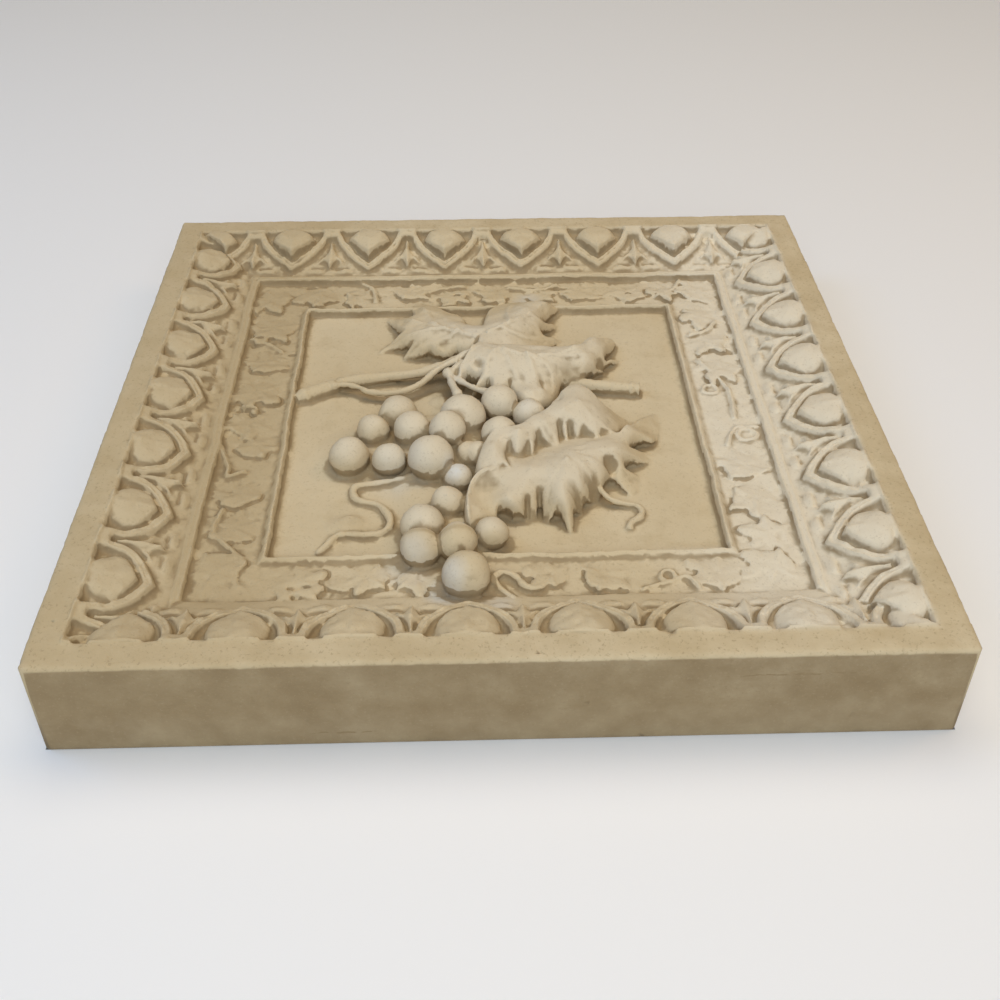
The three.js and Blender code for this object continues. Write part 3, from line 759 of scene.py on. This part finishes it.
# Middle x and y, height of the middle above the panel, radius; the same for the nubs.
GRAPES = (
    (-57.4, -31.8, 4.6, 8.0), (-41.6, -34.8, 5.2, 6.8), (-48.8, -13.5, 3.8, 6.8),
    (-39.3, -1.9, 3.4, 8.2), (-32.7, -17.3, 6.8, 7.7), (-24.8, -38, 8.4, 8.9),
    (-18.8, -23.1, 11.1, 7.3), (-12.5, -11.5, 8.6, 9.3), (2.5, -1.9, 8.8, 7.4),
    (2.1, -23.6, 8.6, 7.3), (14.8, -8, 6.8, 6.6), (-10.2, -31.3, 4.8, 5.5), (-6.7, -32.7, 6.2, 5.3),
    (-14.8, -45.5, 3.9, 5.9), (-18.5, -62.3, 5.6, 6.4), (-27.5, -74.7, 4.9, 8.3),
    (-28, -88.1, 6.2, 7.5), (-14.7, -86.8, 7.2, 7.4), (-2.5, -79.9, 5.2, 6.3),
    (-11.7, -103.9, 7, 8.6), (-22, 10, -4.2, 7),
)
GRAPE_SWELL = 1.03
GRAPE_LUMPS = (0.4, 5, 70)
NUBS = ((-18.5, -64.5, 11.0, 1.3), (-27.5, -78, 12.0, 1.2), (-16, -88, 14.0, 1.1))

for middle_x, middle_y, height, radius in (*GRAPES, *NUBS):
    grape = bmesh.new()
    spot = Matrix.Translation((middle_x, middle_y, PANEL_Z + height))
    bmesh.ops.create_icosphere(grape, subdivisions=4, radius=radius * GRAPE_SWELL, matrix=spot)
    skins = np.array([v.co for v in grape.verts])
    for v, rise in zip(grape.verts, lumps(skins + 200, [GRAPE_LUMPS])):
        v.co += float(rise / radius) * (v.co - spot.translation)
    add_to_model(grape)


# ---- Branch, stems and tendrils ----------------------------------------------------------------
# A cut vine branch lies across behind the leaves, with a thin shoot looping beside it, stems down
# to the grapes, and curling tendrils. Points are x, y, height above the panel, and radius.

STEMS = (
    ((-83, 14.2, 0.4, 3.4), (-76, 18.3, 0.9, 4.1), (-68, 22.0, 1.5, 3.7), (-62, 24.8, 2.2, 3.4),
     (-46, 27.6, 2.7, 2.9), (-30, 28, 4.6, 2.4), (-14, 33, 7, 2.8)),
    ((-68, 20, 3.4, 1.5), (-63, 20.5, 4, 1.6), (-57, 18.5, 4, 1.3), (-52, 15, 3.8, 1.4),
     (-41, 13.6, 4, 1.5), (-31, 17.5, 5.4, 1.6), (-23, 25, 8, 1.7), (-15, 30, 9.5, 1.9),
     (-8, 34, 11, 2.2)),
    ((-20, 23, 8, 1.9), (-18.2, 21, 8.6, 2.7), (-16, 22.5, 9, 2), (-12, 28, 10, 1.8)),
    ((-18.5, 21, 8, 1.6), (-17, 12, 9.5, 1.7), (-14, 0, 11, 2.2)),
    ((-18, 21, 8, 1.5), (-9, 10, 9, 1.6), (0, 2, 10.5, 2)),
    ((16, 24, 3, 3.2), (40, 19, 2.6, 3.3), (52, 17.3, 2.4, 3.2), (63, 15.8, 2.2, 3.1)),
    ((-30, -40, 1.6, 1.9), (-36, -42, 1.3, 1.6), (-44, -43.8, 1, 1.5), (-54.4, -46.6, 1, 1.6),
     (-53, -54, 0.9, 1.6), (-44.6, -57.6, 1, 1.5), (-40, -66.4, 1, 1.7), (-41.8, -72.4, 0.9, 1.5),
     (-47.7, -74.5, 0.9, 1.6), (-58.5, -74.2, 0.8, 1.5), (-63, -80, 0.6, 1.5),
     (-66, -84, 0.2, 1.2)),
    ((-60, -69, -0.2, 1.3), (-57.5, -65, 0.3, 1.4), (-53, -64.6, 0.4, 1.3), (-52, -68.6, 0.2, 1.2),
     (-55, -70, 0.2, 1)),
    ((37, -51, 6.2, 1.3), (42.7, -58, 3, 1.2), (48.5, -59.7, 1.6, 1.2), (52.7, -60.2, 1.1, 1.3),
     (54.9, -63.2, 0.8, 1.5), (53.2, -67.3, 0.6, 1.6), (50, -69.9, 0.6, 1.6),
     (48.9, -73.5, 0.2, 1.5)),
    ((-4, -104, 3.4, 1.3), (-1, -100, 3.4, 1.4), (1.8, -98.9, 3.5, 1.4), (5.7, -101, 3.2, 1.4),
     (8.9, -105.7, 3, 1.4), (13, -106.8, 2.9, 1.4), (17.6, -103, 2.3, 1.1)),
    ((-2, -100.5, 2.8, 1.2), (0.1, -106.2, 2.5, 1.2), (5, -111.5, 2.8, 1.1)),
)
BARK, BARK_SIZE = 0.26, 1.8  # how unevenly thick a stem is, as a share of its radius

for number, line in enumerate(STEMS):
    path = bpy.data.curves.new("stem", "CURVE")
    path.dimensions = "3D"
    path.bevel_depth = 1
    path.bevel_resolution = 3
    path.use_fill_caps = True
    points = smooth_line(line, 8)
    spline = path.splines.new("POLY")
    spline.points.add(len(points) - 1)
    bark = 1 + BARK * cloud(points[:, :3], BARK_SIZE, 90 + number)
    for point, (px, py, height, radius), thicker in zip(spline.points, points, bark):
        point.co = (px, py, PANEL_Z + height, 1)
        point.radius = radius * thicker
    drawn = bpy.data.objects.new("stem", path)
    stem = bmesh.new()
    stem.from_mesh(drawn.to_mesh())
    bmesh.ops.remove_doubles(stem, verts=stem.verts, dist=0.001)
    bpy.data.objects.remove(drawn)
    add_to_model(stem)


# ---- Casting -----------------------------------------------------------------------------------
# The rubber mould runs every part of the model into one skin of stone, a little blurred, with
# sand-blown surfaces. It is turned from the bench to the wall, and replaces the plain solid.

SKIN_STEP = 0.45
MOST_TRIANGLES = 194000
GRAIN = ((0.12, 9, 60), (0.10, 2.8, 61), (0.07, 1.1, 62))
SHRINKAGE = 0.16  # the stone dries back from the mould by this much
BACK_EDGE = 0.5  # the back and the sides' feet stay smooth up to this height
RELIEF_TOP = 41.5
CORNER_ROUNDING = 4
CELL = 0.5  # side of the squares in which hollows are looked for
DUST_AND_SHADE_REACHES = ((0.5, 0.5), (1.4, 1.2))  # how wide the surroundings are looked at, and how deep below them counts in full
UNDERSIDE_PAINTED_SHADE = 0.75  # how dark the faces that look down the plaque are painted, as painted shade
FRONT_Z = 5  # only what stands higher than this gets the bloom and the painted shade on faces that look down
# Where a pale bloom has come out on the stone: x, y, reach and strength.
BLOOM = (
    (-14.8, -45.5, 7, 1.0), (13, -8, 7, 0.4), (-19, -109, 10, 0.6), (-33, -96, 13, 0.35),
    (-37, -42, 15, 0.3), (-1, -115, 9, 0.4), (-14, 14, 9, 0.35), (18, 92, 9, 0.3),
    (-8, 52, 8, 0.25),
)


def finished(mesh, kind, **settings):
    """The mesh as one modifier leaves it; the mesh given is removed."""
    worked = bpy.data.objects.new("worked", mesh)
    bpy.context.scene.collection.objects.link(worked)
    modifier = worked.modifiers.new(kind.lower(), kind)
    for name, setting in settings.items():
        setattr(modifier, name, setting)
    seen = worked.evaluated_get(bpy.context.evaluated_depsgraph_get())
    result = bpy.data.meshes.new_from_object(seen)
    bpy.data.objects.remove(worked)
    bpy.data.meshes.remove(mesh)
    return result


def read_rows(rows, kind):
    """Three numbers for each point of a mesh: its place, or the way it faces."""
    values = np.empty(3 * len(rows), np.float32)
    rows.foreach_get(kind, values)
    return values.reshape(-1, 3).astype(float)


skin = bpy.data.meshes.new("skin")
model.to_mesh(skin)
model.free()
skin = finished(skin, "REMESH", mode="VOXEL", voxel_size=SKIN_STEP)
skin = finished(skin, "SMOOTH", factor=0.5, iterations=1)
places = read_rows(skin.vertices, "co")
facing = read_rows(skin.vertex_normals, "vector")
blown = lumps(places, GRAIN)
places += facing * (blown - SHRINKAGE)[:, None] * (places[:, 2:] > BACK_EDGE)
past_corner = (np.abs(places[:, :2]) - (SIDE / 2 - CORNER_ROUNDING)).clip(0, None)
overshoot = np.maximum(np.hypot(*past_corner.T) / CORNER_ROUNDING, 1)[:, None]
places[:, :2] -= np.sign(places[:, :2]) * past_corner * (1 - 1 / overshoot)
places[:, 2] = places[:, 2].clip(0, RELIEF_TOP)
skin.vertices.foreach_set("co", places.ravel().astype(np.float32))

# How deep each place lies below its surroundings, for the dust and the painted shade in the
# hollows, and the painted highlight where a place stands out.
cells = int(SIDE / CELL) + 1
column = ((places[:, :2] + SIDE / 2) / CELL).round().astype(int).clip(0, cells - 1)
relief = np.full((cells, cells), -1.0)
np.maximum.at(relief, (column[:, 0], column[:, 1]), places[:, 2])
for _ in range(4):  # squares with no point in them are filled from their neighbours
    relief = np.where(relief < 0, np.maximum(np.roll(relief, 1, 0), np.roll(relief, 1, 1)), relief)


def blurred(field, reach):
    """The field with each square the mean of those around it, three times over."""
    width = max(int(round(reach / CELL)), 1)
    for _ in range(3):
        for way in (0, 1):
            margins = [(width, width) if k == way else (0, 0) for k in (0, 1)]
            padded = np.pad(field, margins, mode="edge")
            total = np.cumsum(padded, axis=way)
            total = np.insert(total, 0, 0, axis=way)
            upper = np.take(total, range(2 * width + 1, total.shape[way]), axis=way)
            lower = np.take(total, range(0, total.shape[way] - 2 * width - 1), axis=way)
            field = (upper - lower) / (2 * width + 1)
    return field


dust_and_shade = np.zeros(len(places))
for reach, depth in DUST_AND_SHADE_REACHES:
    below = blurred(relief, reach)[column[:, 0], column[:, 1]] - places[:, 2]
    dust_and_shade += below / depth / len(DUST_AND_SHADE_REACHES)
carved = (np.abs(places[:, :2]).max(1) < RIM_FOOT) & (places[:, 2] > FRONT_Z)
# Faces that look down the plaque are painted darker, as painted shade.
dust_and_shade += UNDERSIDE_PAINTED_SHADE * (-facing[:, 1]).clip(0, 1) ** 1.5 * carved
bloom = np.zeros(len(places))
for middle_x, middle_y, reach, strength in BLOOM:
    gap = np.hypot(places[:, 0] - middle_x, places[:, 1] - middle_y)
    bloom += strength * (1 - ease(0.3 * reach, reach, gap)) * (places[:, 2] > FRONT_Z)
for name, values in (("dust_and_shade", dust_and_shade.clip(-1, 1.5)), ("bloom", bloom.clip(0, 1))):
    layer = skin.attributes.new(name, "FLOAT", "POINT")
    layer.data.foreach_set("value", values.astype(np.float32))
share = MOST_TRIANGLES / (2 * len(skin.polygons))
skin = finished(skin, "DECIMATE", ratio=share)

skin.transform(Matrix.Scale(0.001, 4) @ Matrix.Rotation(math.radians(90), 4, "X"))
plaque = bpy.data.objects.new("cast_plaque", skin)
bpy.context.scene.collection.objects.link(plaque)
skin.name = "cast_plaque"
for face in skin.polygons:
    face.use_smooth = True

# The stone's look. Sizes here are in metres on the hanging plaque: across, depth and up.
stone, nodes = new_finish("cast_stone")
object_place = nodes.node("TexCoord", output="Object")
dust_and_shade_depth = nodes.node("Attribute", {"attribute_name": "dust_and_shade"}, output="Fac")
bloomed = nodes.node("Attribute", {"attribute_name": "bloom"}, output="Fac")


def stone_noise(per_metre, detail=2.0, roughness=0.5):
    """Soft noise through the stone, with so many lumps to a metre."""
    inputs = {"Vector": object_place, "Scale": per_metre, "Detail": detail, "Roughness": roughness}
    return nodes.node("TexNoise", {}, inputs)


PALE, BASE, BROWN = (0.615, 0.51, 0.335), (0.575, 0.465, 0.29), (0.44, 0.335, 0.185)
# The darkest of these is the brown of dust, scratches and sand pits, and of painted shade in the
# hollows.
WHITE, COOL, DUST_AND_SHADE_COLOUR = (0.74, 0.675, 0.545), (0.60, 0.60, 0.57), (0.26, 0.185, 0.095)
# On the side nearest the front: middle, half length, and height above the back.
SCRATCHES = ((0.095, 0.021, 0.029), (-0.053, 0.012, 0.006))
PANEL_EDGE = (0.082, 0.086)
STAIN_EDGE = (0.075, 0.13)  # where the stain and the bleaching begin, and where they are full
STAIN_STRAY = 0.06
RIM_EDGE = (0.1400, 0.1415)
SIDE_EDGE = (0.1518, 0.1523)
STONE_BUMP, STONE_ROUGHNESS, STONE_SPECULAR = 0.35, 0.88, 0.3
BUMP_DEPTH = 0.0004
clouds = stone_noise(14, 3)
blotches = stone_noise(70, 4, 0.6)
sand = stone_noise(900, 2, 0.7)
across, depth, up = (nodes.node("SeparateXYZ", {}, {0: object_place}, output=k) for k in range(3))
edge_ward = nodes.sum("MAXIMUM", nodes.sum("ABSOLUTE", across), nodes.sum("ABSOLUTE", up))
off_panel = edge_ward.between(*PANEL_EDGE) * (0 - depth).between(0.012, 0.018)
colour = clouds.between(0.35, 0.65).blend(BASE, PALE)
outer_sides = edge_ward.between(*SIDE_EDGE)
colour = (blotches.between(0.50, 0.75) * (0.35 - outer_sides * 0.25)).blend(colour, BROWN)
# The left of the border is stained brown, and the right of it is bleached, but for the rim.
stained = (across * (-1) + clouds * STAIN_STRAY).between(*STAIN_EDGE) * off_panel
bleached = (across + clouds * STAIN_STRAY).between(*STAIN_EDGE) * off_panel
bleached = bleached * (0 - edge_ward).between(-0.143, -0.139)
inner = (0 - edge_ward).between(-0.122, -0.112)
colour = (stained * (inner * 0.38 + 0.42)).blend(colour, BROWN)
colour = (bleached * 0.7).blend(colour, WHITE)
# The outer slope and foot of the panel's border are painted a patchy brown, as painted shade.
border_slope_shade = off_panel * edge_ward.between(0.0846, 0.0854)
border_slope_shade = border_slope_shade * (0 - edge_ward).between(-0.0882, -0.0868)
colour = (border_slope_shade * blotches.between(0.2, 0.5) * 0.4).blend(colour, BROWN)
rim = edge_ward.between(*RIM_EDGE) * off_panel
near_side = (0 - up).between(*SIDE_EDGE)
for middle, half_length, above_back in SCRATCHES:
    strayed_line = depth + above_back + stone_noise(90) * 0.004 - 0.002
    thin = (0 - nodes.sum("ABSOLUTE", strayed_line)).between(-0.0005, -0.0002)
    long = (0 - nodes.sum("ABSOLUTE", across - middle)).between(-half_length, -0.8 * half_length)
    worn = stone_noise(350).between(0.38, 0.55)
    colour = (thin * long * worn * near_side * 0.8).blend(colour, DUST_AND_SHADE_COLOUR)
colour = (rim * blotches.between(0.25, 0.6) * 0.4).blend(colour, BROWN)
colour = (bloomed * blotches.between(0.2, 0.55)).blend(colour, COOL)
# Places that stand out above their surroundings are painted paler, as painted highlight.
colour = ((0 - dust_and_shade_depth).between(0.1, 0.8) * 0.22).blend(colour, PALE)
# What stands highest on the panel is painted pale, as painted light; dust and painted shade lie in
# the hollows, and sand shows all over.
low_edge, high_edge = PANEL_EDGE
high_painted_light = (0 - depth).between(0.028, 0.036) * (0 - edge_ward).between(-high_edge, -low_edge)
colour = (high_painted_light * 0.45).blend(colour, WHITE)
# Dust and painted shade darken the hollows and the faces that look down the plaque.
dust_and_shade_darkening = dust_and_shade_depth * (1 + 0.7 * inner * off_panel) * (1 - 0.35 * bleached)
colour = (dust_and_shade_darkening.between(0.12, 0.9) * (blotches * 0.7 + 0.45)).blend(colour, DUST_AND_SHADE_COLOUR)
colour = (sand.between(0.56, 0.72) * (rim * 0.2 + 0.22)).blend(colour, DUST_AND_SHADE_COLOUR)
colour = (sand.between(0.42, 0.28) * 0.12).blend(colour, PALE)
grain = stone_noise(1300, 3, 0.65) * 0.6 + stone_noise(420, 3, 0.6)
bump_inputs = {"Strength": STONE_BUMP, "Distance": BUMP_DEPTH, "Height": grain}
bump = nodes.node("Bump", {}, bump_inputs)
surface = nodes.node("BsdfPrincipled", {}, {
    "Base Color": colour, "Roughness": STONE_ROUGHNESS - sand * 0.1,
    "Specular IOR Level": STONE_SPECULAR, "Normal": bump,
})
nodes.node("OutputMaterial", {}, {"Surface": surface})
skin.materials.clear()
skin.materials.append(stone)

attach(plaque, "root")
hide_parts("plaque")
